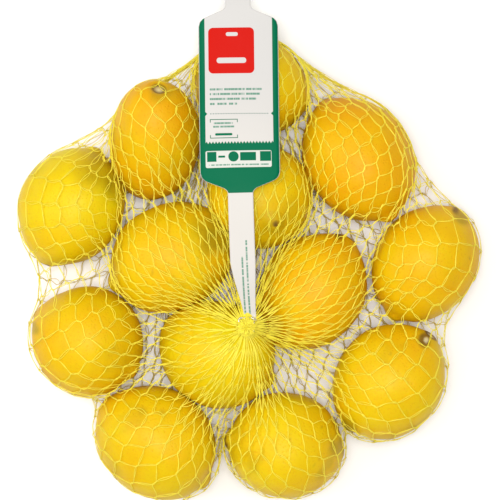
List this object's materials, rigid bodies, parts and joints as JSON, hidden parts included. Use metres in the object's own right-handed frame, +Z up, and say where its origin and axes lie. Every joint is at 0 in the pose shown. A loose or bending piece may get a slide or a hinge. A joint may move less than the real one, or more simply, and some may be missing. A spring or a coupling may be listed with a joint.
{
  "type": "net of lemons",
  "caption": "Net of lemons lying flat in one layer, gathered into a metal clip at each end, with a wide printed tag clipped across it that forms the carrying loop.",
  "frame": {"origin": "bottom centre of the whole object's box, on the surface it lies on", "axes": "+Z up from the surface towards the side with the front clip, +Y along the tag towards the carrying loop, +X to the right seen from above"},
  "size_m": [0.2568, 0.3114, 0.0673],
  "materials": {
    "lemon_peel": "waxy satin, fine pores",
    "net_yarn": "knitted thin plastic yarn",
    "tag_paper": "coated print, green and red fields",
    "clip_metal": "bare crimped band"
  },
  "bodies": {
    "root": {"net_bag": "lemon_peel", "tag": "tag_paper", "front_clip": "clip_metal", "end_clip": "clip_metal"}
  },
  "joints": []
}
